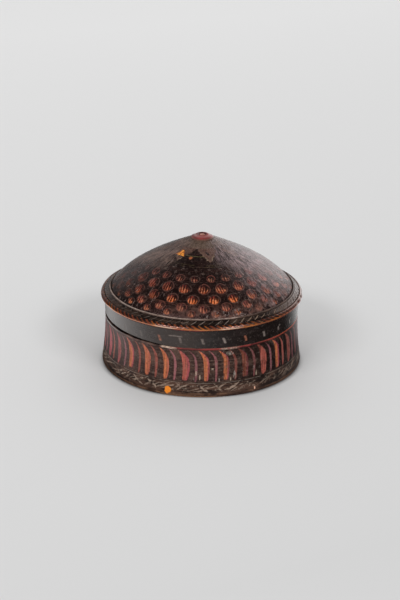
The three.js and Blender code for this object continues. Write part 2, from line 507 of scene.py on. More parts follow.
# Foot band. A hoop of lacquered wood glued over the joint of foot and wall. It is black, with scrolls of
# grey strokes round it and a thin pale line along its top.
band_low, band_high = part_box("foot_band")
band_bore = 76 * mm
border_level = 11.2


def band_recipe(tree, turns, degrees, radius, height, place, streaks, blotches):
    strokes = use(tree, scroll_strokes)
    chipped = flaked(tree, *chip)
    border = (height / mm).near(border_level, 0.15, 0.2) * patches(tree, 130, 0.38, 0.5)
    colour = coats(
        old_black,
        ((streaks * 0.5 + blotches * 0.5).rise(0.42, 0.58), "#4c372d"),
        (strokes * 0.85, stroke_grey),
        (patches(tree, 520, 0.56, 0.70, 4, 0.7) * 0.5, dust_grey),
        (border * 0.75, "#8d8074"),
        (chipped, chip_orange),
    )
    return colour, blotches * 0.2 + 0.26, streaks * 0.05 + strokes * 0.07 - chipped * 0.35


band = turned(
    "foot_scrolls",
    softened([
        (body_radius(band_low.z), band_low.z, joint_rounding),
        *outside(body_radius, band_low.z + 3 * joint_rounding, band_high.z - 3 * joint_rounding, 5),
        (body_radius(band_high.z), band_high.z, joint_rounding),
        (band_bore, band_high.z),
        (band_bore, band_low.z),
    ]),
    [lacquered("band of scrolls", band_recipe, 5)],
)
fixed(band, "foot_band", "box_body")


# Wall. It is turned from wood, waisted below the lid and flared to the foot. Down its black lacquer run
# painted strokes, each bent like a rib: a broad one in orange, red or pink, and between every two a thin one
# in dull purple.
wall_low, wall_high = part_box("body_wall")
wall_bore = 72.7 * mm
tongue_radius = 75.7 * mm
stroke_count = 31
stroke_low = 11.8
stroke_high = 37.2
stroke_bend = 4.2
scored_level = 29.2
scuff_places = (
    (16, 34.5, 3, 1.6), (19, 16.5, 1.2, 3.4), (31, 19.5, 0.7, 1.8), (6.5, 22, 0.9, 1), (-2.6, 20, 0.7, 1.5),
    (-4, 15.5, 0.4, 2.4), (10, 13.5, 0.4, 2),
)
scratch_places = (
    (-2.9, 19, 0.5, 2), (-0.8, 15.8, 0.5, 2.4), (6.4, 22.6, 0.9, 0.5), (16.6, 13.8, 0.5, 1.4),
    (32.5, 15, 0.4, 2.4),
)


def follow(field, points):
    """Takes a field along a smooth curve through the points, all of them between 0 and 1."""
    node = add_node(field.tree, "ShaderNodeFloatCurve", Value=field)
    line = node.mapping.curves[0]
    line.points[0].location = points[0]
    line.points[1].location = points[-1]
    for point in points[1:-1]:
        line.points.new(*point)
    node.mapping.update()
    return Field(node.outputs[0])


def shaded(colour, brightness):
    """A colour made brighter or darker by a field."""
    inputs = {"Vector": colour, "Scale": brightness}
    return Field(add_node(colour.tree, "ShaderNodeVectorMath", {"operation": "SCALE"}, **inputs).outputs[0])


def scraped(tree, places, ragged, share, colour):
    """Layers of bared wall, one for each place: an angle, a level, and half a width and height in mm."""
    layers = []
    for angle, level, wide, high in places:
        bared = flaked(tree, angle, body_radius(level * mm), level, (wide, 3, high), ragged)
        layers.append((bared * share, colour))
    return layers


# The fine grain of age that lies over wall, skirt and crown: pale specks and dark pits.
aged, _ = new_group("grain of age", [], ["Specks", "Pits"])
grain = noise(own_point(aged), 560, 3, 0.6)
give(aged, Specks=grain.rise(0.55, 0.68), Pits=grain.rise(0.46, 0.34))

# One set of the wall's strokes: where it is painted, how far to a stroke's side, and three random numbers
# that belong to each stroke.
bent_strokes, (phase, broad, seed) = new_group(
    "bent strokes", ["Phase", "Broad", "Seed"], ["Painted", "Side", "First", "Second", "Third"]
)
turns, _, _, height, place, _, _ = use(bent_strokes, turned_surface)
climb = (height / mm - stroke_low) / (stroke_high - stroke_low)
bend = follow(climb, [(0, 0.88), (0.2, 0.97), (0.5, 1), (0.7, 0.9), (0.83, 0.68), (0.93, 0.36), (1, 0)])
drift = bend * stroke_bend - stroke_bend + (noise(place, 60) - 0.5) * 1.4
number, off = use(bent_strokes, ring_cells, Turns=turns - drift / 360, Count=stroke_count, Phase=phase)
first, second, third = dice(number + seed)
fat = follow(climb, [
    (0, 0), (0.04, 0.4), (0.12, 0.72), (0.3, 0.92), (0.5, 1), (0.68, 0.98), (0.85, 0.68), (1, 0.12)
])
half = fat * broad * (0.72 + first * 0.4) + (noise(place, 90) - 0.5) * 0.5
shifted = off - half * 0.2 + (second - 0.5) * 0.9
shows = ((shifted + (noise(place, 700) - 0.5) * 0.7).size() - half).rise(0.3, -0.15)
ends = (climb - second * broad * 0.05).rise(-0.02, 0.04) * climb.rise(1.02, 0.97)
give(bent_strokes, Painted=shows * ends, Side=shifted / half.most(0.2))
give(bent_strokes, First=first, Second=second, Third=third)


def wall_recipe(tree, turns, degrees, radius, height, place, streaks, blotches):
    broad, side, first, second, third = use(tree, bent_strokes, Phase=2.6, Broad=1.95, Seed=40)
    thin, _, thin_first, thin_second, _ = use(tree, bent_strokes, Phase=8.4, Broad=0.72, Seed=80)
    level = height / mm
    # Painted reflection: the broad and thin strokes are painted pinker on the right flank.
    pink_reflection_right = degrees.between(52, 64, 100, 130)
    faded = degrees.near(28, 13, 7)
    grain = drawn(turns * 900, 0, height * 60)
    crossed = drawn(turns * 60, 7, height * 1500)
    broad_colour = coats(
        "#bf6c45",
        (first.rise(0.25, 0.75), "#ac584b"),
        (side.rise(0, 0.8) * second.rise(0.1, 0.5), "#a24a52"),
        (third.rise(0.7, 0.9) * 0.6, "#5c3a33"),
        # Painted reflection: the broad strokes are painted pinker on the left flank too.
        (degrees.between(-130, -100, -60, -42) * 0.6, "#9a4456"),
        (pink_reflection_right * 0.6, "#8a4a50"),
    )
    thin_colour = coats("#9a6066", (thin_first.rise(0.3, 0.7), "#9a5348"), (pink_reflection_right * 0.7, "#84505c"))
    brush_grain_and_shade = grain.rise(0.36, 0.60) * 0.85 + crossed * 0.6 + 0.17
    # Painted shade: the broad strokes are painted a quarter darker on the right flank.
    brush_grain_and_shade = brush_grain_and_shade * (1 - degrees.between(40, 62, 110, 140) * 0.25)
    thin_shows = thin * (0.92 - faded * 0.4) * (crossed.rise(0.3, 0.5) * 0.3 + 0.7)
    worn_through = drawn(turns * 300, height * 110, 3, 5, 0.75).rise(0.53, 0.62)
    rub = drawn(turns * 330, height * 120, 0, 5, 0.75).rise(0.62, 0.70)
    belly = degrees.near(2, 24, 26) * level.near(24, 4, 7)
    handled = drawn(turns * 40, 3, height * 1100, 4, 0.7).rise(0.44, 0.60)
    flecked = drawn(turns * 420, height * 240, 9, 4, 0.75).rise(0.64, 0.71)
    scuffed = drawn(turns * 520, height * 200, 0, 4, 0.75).rise(0.46, 0.60)
    specks, pits = use(tree, aged)
    colour = coats(
        "#171211",
        ((streaks * 0.55 + blotches * 0.45).rise(0.40, 0.62) * 0.85, "#4c3b34"),
        # Painted shade: the black ground is painted darker over the right flank and over the left flank.
        (degrees.between(16, 32, 100, 120) * 0.75, "#140907"),
        (degrees.between(-130, -110, -52, -34) * 0.5, "#1f110e"),
        (blotches.rise(0.52, 0.72) * 0.4, "#5a463d"),
        (broad * (0.92 - faded * (second * 0.5 + 0.15)), shaded(broad_colour, brush_grain_and_shade)),
        (thin_shows, shaded(thin_colour, thin_second * 0.4 + crossed * 0.4 + 0.55)),
        (worn_through * (degrees.rise(-5, 40) * 0.3 + faded * 0.25 + 0.4), "#1c1412"),
        (rub * 0.35, "#7d7069"),
        (handled * belly * 0.6, "#6d5246"),
        (flecked * degrees.near(15, 50, 30) * 0.7, "#978a80"),
        (level.near(scored_level, 0.12, 0.2) * degrees.near(7, 15, 4) * 0.6, "#8a6a60"),
        *scraped(tree, scuff_places, 1.4, scuffed * 0.8, "#a39a91"),
        *scraped(tree, scratch_places, 1.8, 0.75, "#b5a28c"),
        (specks * 0.2, "#8f8178"),
        (pits * 0.4, "#0f0b0a"),
    )
    roughness = streaks * 0.12 + rub * 0.2 + degrees.rise(-40, -75) * 0.25 + 0.27
    return colour, roughness, broad * 0.05 + thin * 0.05 + streaks * 0.06 - rub * 0.05


wall = turned(
    "striped_wall",
    softened([
        (body_radius(band_high.z), band_high.z, joint_rounding),
        *outside(body_radius, band_high.z + 3 * joint_rounding, wall_high.z - 3 * joint_rounding, 24),
        (body_radius(wall_high.z), wall_high.z, joint_rounding),
        (wall_bore, wall_high.z),
        (wall_bore, wall_low.z),
        (tongue_radius, wall_low.z),
        (tongue_radius, band_high.z),
    ]),
    [lacquered("striped wall", wall_recipe, 7, polish=1.45)],
)
fixed(wall, "body_wall", "box_body")


# Rim hoop. A thin hoop of lacquered wood, glued round the top of the wall, that the lid comes down on. It is
# red, scuffed pale at the front under a painted highlight, and dark at the left.
def rim_recipe(tree, turns, degrees, radius, height, place, streaks, blotches):
    # Painted highlight, broken up by scuffs: pale near -19 and 16 degrees, where the softboxes shine on the
    # rim.
    bright = degrees.near(-19, 4.5, 1) + degrees.near(16, 5, 2) * 0.6
    scuffed = patches(tree, 600, 0.42, 0.58, 4, 0.7)
    colour = coats(
        "#963a38",
        (blotches.rise(0.4, 0.62), "#6c2a2c"),
        (degrees.rise(30, 60) * 0.6, "#b04e2f"),
        ((height / mm).rise(38.5, 38.2) * (blotches.rise(0.3, 0.6) * 0.4 + 0.5), "#2e1a17"),
        (degrees.between(-175, -165, -22, -12), mix(blotches.rise(0.4, 0.6), old_black, "#5a463e")),
        (bright * (scuffed * 0.6 + 0.3), "#cdb3a0"),
    )
    return colour, streaks * 0.2 + 0.22, streaks * 0.05


rim = turned(
    "lid_rest",
    softened([
        (rim_high.x, rim_low.z, joint_rounding),
        (rim_high.x, rim_high.z, 2 * joint_rounding),
        (wall_bore, rim_high.z),
        (wall_bore, rim_low.z),
    ]),
    [lacquered("rim red", rim_recipe, 13)],
)
fixed(rim, "rim_hoop", "box_body")


# Neck. The thin wooden lining of the box stands up above the rim, and the lid slides down over it. It is red
# inside and black outside, with its top edge rounded and worn to the wood.
neck_low, neck_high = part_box("neck_liner")
neck_middle = (neck_low.z + neck_high.z) / 2
neck_bore = 70.2 * mm
neck_rounding = 0.6 * mm
bore_skin = 0.3 * mm


def neck_recipe(tree, turns, degrees, radius, height, place, streaks, blotches):
    rubbed = use(tree, rubbed_edge, Distance=neck_high.z - height, Reach=2.2 * mm, Seed=8)
    slid = drawn(turns * 260, height * 30, 0, 4, 0.7).rise(0.6, 0.7)
    colour = coats(
        old_black,
        (streaks.rise(0.45, 0.65) * 0.7, brown_black),
        (rubbed, bare_wood),
        (slid * 0.35, "#6b5a50"),
    )
    return colour, rubbed * 0.2 + blotches * 0.15 + 0.22, streaks * 0.05


neck = turned(
    "neck",
    softened([
        (neck_high.x, neck_low.z),
        (neck_high.x, neck_middle),
        (neck_high.x, neck_high.z, neck_rounding),
        (neck_bore, neck_high.z, neck_rounding),
        (neck_bore, neck_middle),
        (neck_bore, neck_low.z),
    ]),
    [lacquered("neck black", neck_recipe, 19), lining],
    inner=lambda radius, height: radius < neck_bore + bore_skin,
)
fixed(neck, "neck_liner", "box_body")


# Skirt of the lid. A wooden band under glossy black lacquer, let into the flange, with short ticks scratched
# round it, two of them orange, and dust at the left. It has warped with age, so that its lower edge stands a
# little off the rim there.
skirt_low, skirt_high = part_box("lid_skirt")
skirt_bore = 72.8 * mm
skirt_shoulder = 54 * mm
tenon_radius = 75.4 * mm
skirt_flare = skirt_high.x - waist_radius
warp_lift = 2.9 * mm
warp_middle = -95
warp_reach = 83
tick_count = 29
tick_level = 45
orange_ticks = 24.5
bar_level = 48.3
bar_angle = -14.8


def skirt_radius(level):
    """Outside of the skirt, which widens towards the flange."""
    return waist_radius + skirt_flare * (max(0, level - skirt_low.z) / (skirt_shoulder - skirt_low.z)) ** 2


def degrees_off(angle, place):
    """How far an angle lies from a place round the ring, in degrees."""
    return (math.degrees(angle) - place + 180) % 360 - 180


def warped(angle, radius, height):
    """Raises the skirt's lower edge at the left."""
    away = abs(degrees_off(angle, warp_middle))
    share = math.cos(math.radians(90 * min(1, away / warp_reach))) ** 1.1
    low = max(0, 1 - (height - skirt_low.z) / (skirt_shoulder - skirt_low.z))
    return radius, height + warp_lift * share * low


def skirt_recipe(tree, turns, degrees, radius, height, place, streaks, blotches):
    level = height / mm
    climb = level - tick_level
    number, off = use(tree, ring_cells, Turns=turns, Count=tick_count, Phase=0.6)
    first, second, _ = dice(number + 5)
    bend = climb * climb * 0.02 + climb * (first * 0.16 + 0.12)
    hook = climb.rise(1.1, 2) * degrees.rise(36, 46) * 1.6
    long = (level - 44.6 - second * 1.2).size().rise(2.9, 1.6)
    tick = (off + bend - hook + (second - 0.5)).size().rise(1.15, 0.2) * long * (first * 0.45 + 0.4)
    bar = (level + (blotches - 0.5) * 2).near(bar_level, 0.3, 0.6) * degrees.near(bar_angle, 3.8, 1) * 0.8
    patchy = patches(tree, 420, 0.22, 0.52) * (degrees.rise(-38, -28) * 0.75 + 0.25)
    tick_colour = mix(degrees.size().near(orange_ticks, 4, 0.5), "#8f827b", "#a5644c")
    warm = degrees.rise(0, 20) * 0.6 + 0.2
    dust = patches(tree, 330, 0.68, 0.76, 6, 0.8)
    dulled = degrees.between(-160, -120, -58, -25)
    mottled = drawn(turns * 40, height * 190, 4, 3, 0.6).rise(0.45, 0.65)
    worn_low = use(tree, rubbed_edge, Distance=height - skirt_low.z, Reach=0.9 * mm, Seed=9)
    specks, pits = use(tree, aged)
    colour = coats(
        mix(warm, "#131315", "#1c1411"),
        (streaks.rise(0.5, 0.75) * 0.5, "#2a2321"),
        (degrees.near(-14, 12, 12) * 0.75, "#352d29"),
        (tick.most(bar) * patchy, tick_colour),
        (dust * 0.4 + dulled * 0.25, "#6e6a66"),
        (specks * 0.14, "#7d736d"),
        (mottled * 0.25, mix(warm, "#3a3b3d", "#3d2c2a")),
        (worn_low * 0.5, bare_wood),
    )
    relief = streaks * 0.04 - tick * 0.1 + (specks - pits) * 0.02
    return colour, streaks * 0.1 + dulled * 0.12 + 0.17, relief


def hollow_recipe(tree, turns, degrees, radius, height, place, streaks, blotches):
    blotched = blotches.rise(0.55, 0.72) * 0.5
    colour = coats("#1b1311", (streaks.rise(0.42, 0.66), "#33201a"), (blotched, "#4b2a22"))
    return colour, blotches * 0.2 + 0.3, streaks * 0.1


hollow = lacquered("inside of the lid", hollow_recipe, 29, out=1)
skirt = turned(
    "lid_band",
    softened([
        (skirt_radius(skirt_low.z), skirt_low.z, 3 * joint_rounding),
        *outside(skirt_radius, skirt_low.z + 8 * joint_rounding, skirt_shoulder, 14),
        (tenon_radius, skirt_shoulder),
        (tenon_radius, skirt_high.z),
        (skirt_bore, skirt_high.z),
        (skirt_bore, skirt_shoulder),
        (skirt_bore, (skirt_low.z + skirt_shoulder) / 2),
        (skirt_bore, skirt_low.z, 2 * joint_rounding),
    ]),
    [lacquered("skirt black", skirt_recipe, 23, sheen="#fff0ea"), hollow],
    inner=lambda radius, height: radius < skirt_bore + bore_skin,
    shape=warped,
)
fixed(skirt, "lid_skirt", "lid")


# Flange of the lid. A turned ring of wood that holds skirt and crown together and slopes down to its edge,
# in black lacquer gone brown, and grey with dust where it meets the crown.
flange_low, flange_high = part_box("lid_flange")
crown_low, crown_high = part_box("lid_crown")
bead_low, bead_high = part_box("crown_bead")
edge_low, edge_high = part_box("lid_edge_hoop")
flange_seat = 67.7 * mm
slope_top = bead_high.x + seat_gap


def flange_recipe(tree, turns, degrees, radius, height, place, streaks, blotches):
    dust = patches(tree, 300, 0.54, 0.68, 5, 0.75)
    colour = coats(
        "#0f0c0b",
        (blotches.rise(0.48, 0.66), "#31261f"),
        (streaks.rise(0.50, 0.68) * 0.5, "#4f3d33"),
        (degrees.near(80, 30, 14) * 0.6, "#4a3f3a"),
        (dust * 0.45, "#6f5f55"),
    )
    return colour, blotches * 0.2 + 0.14, streaks * 0.12 - dust * 0.1


flange = turned(
    "lid_shoulder",
    softened([
        (flange_high.x, edge_high.z, joint_rounding),
        (slope_top, flange_high.z, 2 * joint_rounding),
        (crown_high.x + seat_gap, flange_high.z),
        (crown_high.x + seat_gap, crown_low.z),
        (flange_seat, crown_low.z, joint_rounding),
        (flange_seat, skirt_high.z, joint_rounding),
        (tenon_radius + seat_gap, skirt_high.z),
        (tenon_radius + seat_gap, flange_low.z),
        (flange_high.x, flange_low.z),
    ]),
    [lacquered("flange black", flange_recipe, 31, up=0, out=1), hollow],
    inner=lambda radius, height: radius < crown_high.x and height < crown_low.z + 0.1 * mm,
)
fixed(flange, "lid_flange", "lid")


# Strokes on the flange. Raised slips of grey lacquer, laid aslant one after another round the slope like the
# lay of a rope. One slip is shaped once and set out round the ring as by hand, no two quite alike.
slip_count = 76
slip_steps = 7
slip_width = 1.5 * mm
slip_height = 0.12 * mm
slip_lean = math.radians(-55)
slope_run = flange_high.x - slope_top
slope_rise = flange_high.z - edge_high.z


def slip_shape(name, length, width, height, lean):
    """A low pointed slip, along Y and leaning over, that stands on Z = 0."""
    vertices, faces = [], []
    for i in range(slip_steps + 1):
        t = i / slip_steps
        half = width / 2 * math.sin(math.pi * (0.06 + 0.88 * t)) ** 0.8
        y = length * (t - 0.5)
        bow = -0.1 * length * math.sin(math.pi * t)
        for across, up in ((-1, -0.4), (-0.5, 0.85), (0.5, 0.85), (1, -0.4)):
            vertices.append((half * across + bow - math.tan(lean) * y, y, height * up))
    for i in range(slip_steps):
        a, b = 4 * i, 4 * (i + 1)
        faces += [(a + k + 1, a + k, b + k, b + k + 1) for k in range(3)]
        faces.append((a, a + 3, b + 3, b))
    faces += [(3, 0, 1, 2), (4 * slip_steps, 4 * slip_steps + 3, 4 * slip_steps + 2, 4 * slip_steps + 1)]
    mesh = bpy.data.meshes.new(name)
    mesh.from_pydata(vertices, [], [face[::-1] for face in faces])
    mesh.shade_smooth()
    return bpy.data.objects.new(name, mesh)


def ring_of_slips(name, shape, finish, **values):
    """Sets copies of a slip round a ring by Geometry Nodes and returns them as one plain mesh."""
    tree, (slip, material, count, radius, height, slope, unevenness, seed) = new_group(
        name,
        ["Slip", "Material", "Count", "Radius", "Height", "Slope", "Unevenness", "Seed"],
        ["Geometry"],
        {"Slip": "Object", "Material": "Material", "Count": "Int", "Seed": "Int", "Geometry": "Geometry"},
        "GeometryNodeTree",
    )

    def made(kind, output=0, **inputs):
        return Field(add_node(tree, "GeometryNode" + kind, **inputs).outputs[output])

    def chance(offset):
        """A random number between -1 and 1 times the unevenness, for each slip."""
        numbers = {"ID": made("InputIndex"), "Seed": seed + offset, "Min": -1, "Max": 1}
        return Field(add_node(tree, "FunctionNodeRandomValue", **numbers).outputs["Value"]) * unevenness

    x, y, _ = split(made("InputPosition"))
    facing = joined(slope, 0, calc(tree, "ARCTAN2", y, x) - math.pi / 2)
    one_slip = made("ObjectInfo", "Geometry", Object=slip)
    ring = made("MeshCircle", Vertices=count, Radius=radius)
    ring = made("InstanceOnPoints", Points=ring, Instance=one_slip, Rotation=facing)
    ring = made("RotateInstances", Instances=ring, Rotation=joined(0, 0, chance(1)))
    ring = made("ScaleInstances", Instances=ring, Scale=joined(1, chance(2) + 1, 1))
    ring = made("Transform", Geometry=ring, Translation=joined(0, 0, height))
    ring = made("SetMaterial", Geometry=made("RealizeInstances", Geometry=ring), Material=material)
    give(tree, Geometry=ring)

    piece = bpy.data.objects.new(name, bpy.data.meshes.new(name))
    scene.collection.objects.link(piece)
    scene.collection.objects.link(shape)
    modifier = piece.modifiers.new("ring", "NODES")
    modifier.node_group = tree
    sockets = {item.name: item.identifier for item in tree.interface.items_tree if item.in_out == "INPUT"}
    for title, value in {"Slip": shape, "Material": finish, **values}.items():
        modifier[sockets[title]] = value
    seen = piece.evaluated_get(bpy.context.evaluated_depsgraph_get())
    plain = bpy.data.meshes.new_from_object(seen)
    piece.modifiers.clear()
    piece.data = plain
    plain.name = name
    bpy.data.objects.remove(shape)
    return piece


def slip_recipe(tree, turns, degrees, radius, height, place, streaks, blotches):
    number, _ = use(tree, ring_cells, Turns=turns, Count=slip_count)
    first, _, _ = dice(number + 3)
    patchy = noise(place, 500, 4, 0.7)
    shown = (degrees.rise(-14, -4) * 0.6 + 0.4) * (patchy + first * 0.5).rise(0.35, 0.85)
    shown = shown * (1 - degrees.near(80, 30, 14) * 0.75)
    colour = mix(shown, "#1a1412", mix(degrees.rise(14, 30), "#6d635b", "#85705f"))
    return colour, patchy * 0.3 + 0.25, patchy * 0.03


slips = ring_of_slips(
    "flange_strokes",
    slip_shape("slip", math.hypot(slope_rise, slope_run) * 0.92, slip_width, slip_height, slip_lean),
    lacquered("grey strokes", slip_recipe, 0),
    Count=slip_count,
    Radius=(flange_high.x + slope_top) / 2 - 0.1 * mm,
    Height=(flange_high.z + edge_high.z) / 2,
    Slope=-math.atan2(slope_rise, slope_run),
    Unevenness=0.12,
    Seed=4,
)
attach(slips, "lid")


# Edge hoop. The widest piece of the lid, a hoop of wood glued round the flange, orange and red where hands
# have polished it, with a painted highlight on its crest at the front and painted shade towards its sides.
# Its upper half is cut all round by short slanting notches that are filled with black, and knocks have left
# six nicks in it.
edge_bore = 77.2 * mm
# The outline bends from one lean to the next, in degrees, round a radius. A nick has an angle, half a width
# in degrees and a depth in mm.
edge_bends = ((-75, 20, 1.5 * mm), (20, 40, 3.8 * mm), (40, 60, 3 * mm), (60, 90, 1 * mm))
edge_nicks = (
    (71, 2.2, 0.45), (79, 1.4, 0.6), (88, 3, 0.3), (126, 2.5, 0.5), (-64, 2, 0.35), (203, 3, 0.4)
)
edge_crest = 55.6
notch_count = 106


def edge_recipe(tree, turns, degrees, radius, height, place, streaks, blotches):
    climb = height / mm
    leaning = turns + (climb - 57.3) * 0.004
    number, off = use(tree, ring_cells, Turns=leaning, Count=notch_count, Phase=1)
    first, second, _ = dice(number + 9)
    spread = (climb - 56.4) * 0.2 + 0.85 + (second - 0.5) * 0.4
    worn_right = degrees.near(84, 26, 12)
    notch = ((off + (first - 0.5) * 0.6).size() - spread).rise(0.15, -0.15) * climb.rise(55.8, 56.1)
    notch = notch * (1 - worn_right * 0.8)
    # Painted highlight: the crest is painted cream near -20 and 16 degrees, where the softboxes shine on it.
    bright = degrees.near(-20.5, 5.75, 2.25).most(degrees.near(16, 5.75, 2.25))
    red_patch = degrees.near(-7, 8, 2).most(degrees.near(60, 14, 6))
    colour = coats(
        "#a05a28",
        (blotches.rise(0.38, 0.62), "#703526"),
        (climb.rise(56, 57.2) * 0.45, "#5a2e18"),
        (climb.near(edge_crest, 0.25, 0.35) * (bright * 0.55 + 0.35), mix(bright, "#c98f5a", "#f0d6bc")),
        (climb.rise(55.1, 54.7), mix(red_patch, "#2c1714", "#7a3034")),
        # Painted shade: the hoop is painted darker towards both sides, away from the front.
        ((degrees + 15).size().rise(35, 75) * 0.5, "#5a2a1c"),
        (degrees.between(42, 60, 110, 130) * 0.6, "#6e3a34"),
        (degrees.between(20, 34, 110, 130) * climb.rise(56.1, 56.7) * 0.6, "#2e1d17"),
        (notch, "#0d0807"),
        (patches(tree, 330, 0.62, 0.68, 5, 0.7) * 0.6, "#b98a5e"),
        (worn_right * climb.rise(56.3, 57) * 0.8, "#5a4a43"),
    )
    return colour, streaks * 0.1 + notch * 0.2 + 0.07, streaks * 0.04 - notch * 0.04


def nicked(angle, radius, height):
    """Dents the edge inwards where the lid has been knocked."""
    nicks = [(degrees_off(angle, place) / half, deep) for place, half, deep in edge_nicks]
    depth = sum(deep * mm * math.exp(-away ** 2) for away, deep in nicks)
    outer = max(0, (radius - edge_bore) / (edge_high.x - edge_bore))
    return radius - depth * outer, height - depth * 0.6 * outer * (height > edge_low.z + 2 * mm)


edge_line = [(edge_high.x, edge_low.z)]
for start, end, bend_radius in edge_bends:
    steps = max(3, round((end - start) / 8))
    run = bend_radius * math.radians(end - start) / steps
    for step in range(steps):
        lean = math.radians(start + (end - start) * (step + 0.5) / steps)
        edge_line.append((edge_line[-1][0] - math.sin(lean) * run, edge_line[-1][1] + math.cos(lean) * run))
overhang = max(radius for radius, height in edge_line) - edge_high.x
edge = turned(
    "notched_edge",
    [
        *[(radius - overhang, height) for radius, height in edge_line],
        (edge_bore, edge_high.z),
        (edge_bore, edge_low.z),
    ],
    [lacquered("edge orange", edge_recipe, 37, polish=1.8)],
    shape=nicked,
)
fixed(edge, "lid_edge_hoop", "lid")


# Crown. The conical shell of the lid, turned from wood, its slope steep at the foot and easy at the tip.
# Rings of painted roundels with hatched middles climb it in turn, like scales, up to a black band and the
# leaves about the tip. Its flanks carry a streaky pale film, partly dust and handling and partly painted
# reflection of the glare from the sides.
crown_foot = 1.9 * mm
crown_wall = 3.2 * mm
crown_ledge = 0.2 * mm
foot_slope = math.radians(53)
tip_slope = math.radians(25.2)
foot_pull = 21.65 * mm
tip_pull = 20.3 * mm
button_low, button_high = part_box("tip_button")
peg_hole = 2.5 * mm
crown_steps = 72
roundel_count = 24
# A ring of roundels has a level, a phase, a width, a height and a point, a low and a high colour and a
# strength. The two rings of dots over them have one colour and a seed. Levels are in mm up the slope.
roundel_rings = (
    (3.5, 8.5, 7.6, 6.4, 0, "#b8603a", "#84402f", 0.8),
    (8, 1.5, 9.6, 8.4, 0, "#a04c3a", "#703834", 0.85),
    (15, 8.5, 10, 9.6, 0, "#c8602a", "#6e2a20", 1),
    (25, 1.5, 10.6, 11.2, 0.3, "#9c4426", "#4e1f1b", 1),
    (34.5, 8.5, 7.8, 7.8, 0, "#642a24", "#381b1a", 0.85),
)
dot_rings = ((39.7, 1.5, 4, 3.6, "#463a34", 900), (43.5, 8.5, 3.4, 1.2, "#5d514a", 1000))
low_lines = (10.2, 11.4)
high_lines = (45.9, 47.8)
green_line = 57.2
flake_angle = -41
flake_level = 55.6
leaf_count = 7
leaf_low = 49.8
leaf_length = 16.6
eye_level = 60.5


def crown_point(t):
    """Outside of the crown from its foot, t = 0, to the button, t = 1, and the direction there."""
    foot = Vector((crown_high.x, crown_low.z + crown_foot))
    tip = Vector((button_high.x, crown_high.z))
    pull = foot + foot_pull * Vector((-math.cos(foot_slope), math.sin(foot_slope)))
    hold = tip - tip_pull * Vector((-math.cos(tip_slope), math.sin(tip_slope)))
    s = 1 - t
    point = foot * s ** 3 + pull * 3 * t * s ** 2 + hold * 3 * t ** 2 * s + tip * t ** 3
    run = (pull - foot) * s ** 2 + (hold - pull) * 2 * t * s + (tip - hold) * t ** 2
    return point, run.normalized()


def arc(degrees, radius):
    """How long an angle is round a ring, in mm."""
    return degrees * (math.pi / 180) * radius / mm


# One ring of roundels: its outlines, filled middles, the dark and bright lines of their hatching, how high a
# point lies in its roundel, and a random number for each.
roundels, (along, phase, level, width, tall, pointed, seed) = new_group(
    "ring of roundels",
    ["Along", "Phase", "Level", "Width", "Tall", "Pointed", "Seed"],
    ["Outline", "Filled", "Hatched", "Bright", "Lift", "Chance"],
)
turns, _, radius, _, place, _, _ = use(roundels, turned_surface)
number, off = use(roundels, ring_cells, Turns=turns, Count=roundel_count, Phase=phase)
first, second, third = dice(number * 7 + seed)
across = arc(off, radius) + (first - 0.5) * 0.9
rise = along - level + (second - 0.5) * 0.9
u = across / (width * (0.43 + third * 0.1))
v = rise / (tall * 0.47)
unsteady = (noise(place, 210) - 0.5) * 0.24
far = slant(u, v) + u.size() * v.most(0) * pointed + unsteady
inside = (slant(u + 0.08, v + 0.06) + unsteady * 1.8).rise(0.82, 0.66)
crescent_u, crescent_v = u - 0.5, v - 0.42
crescent = (crescent_u * crescent_u + crescent_v * crescent_v * 0.5).rise(0.26, 0.08)
scribbled = drawn(across * 0.9 + number * 3, rise * 0.25, seed, 2) - 0.5
swing = (across + rise * (first - 0.5) * 0.4) * 0.5 + scribbled * 1.6 + second
hatch = calc(roundels, "SINE", swing * (2 * math.pi))
give(
    roundels,
    Outline=far.near(0.9, 0.08, 0.09) * noise(place, 300).rise(0.3, 0.5),
    Filled=inside * (1 - crescent * 0.85),
    Hatched=hatch.rise(-0.2, 0.5) * (v + third * 0.3).rise(-0.8, -0.35),
    Bright=hatch.rise(-0.55, -0.95) * v.rise(0.45, -0.1),
    Lift=v,
    Chance=third,
)


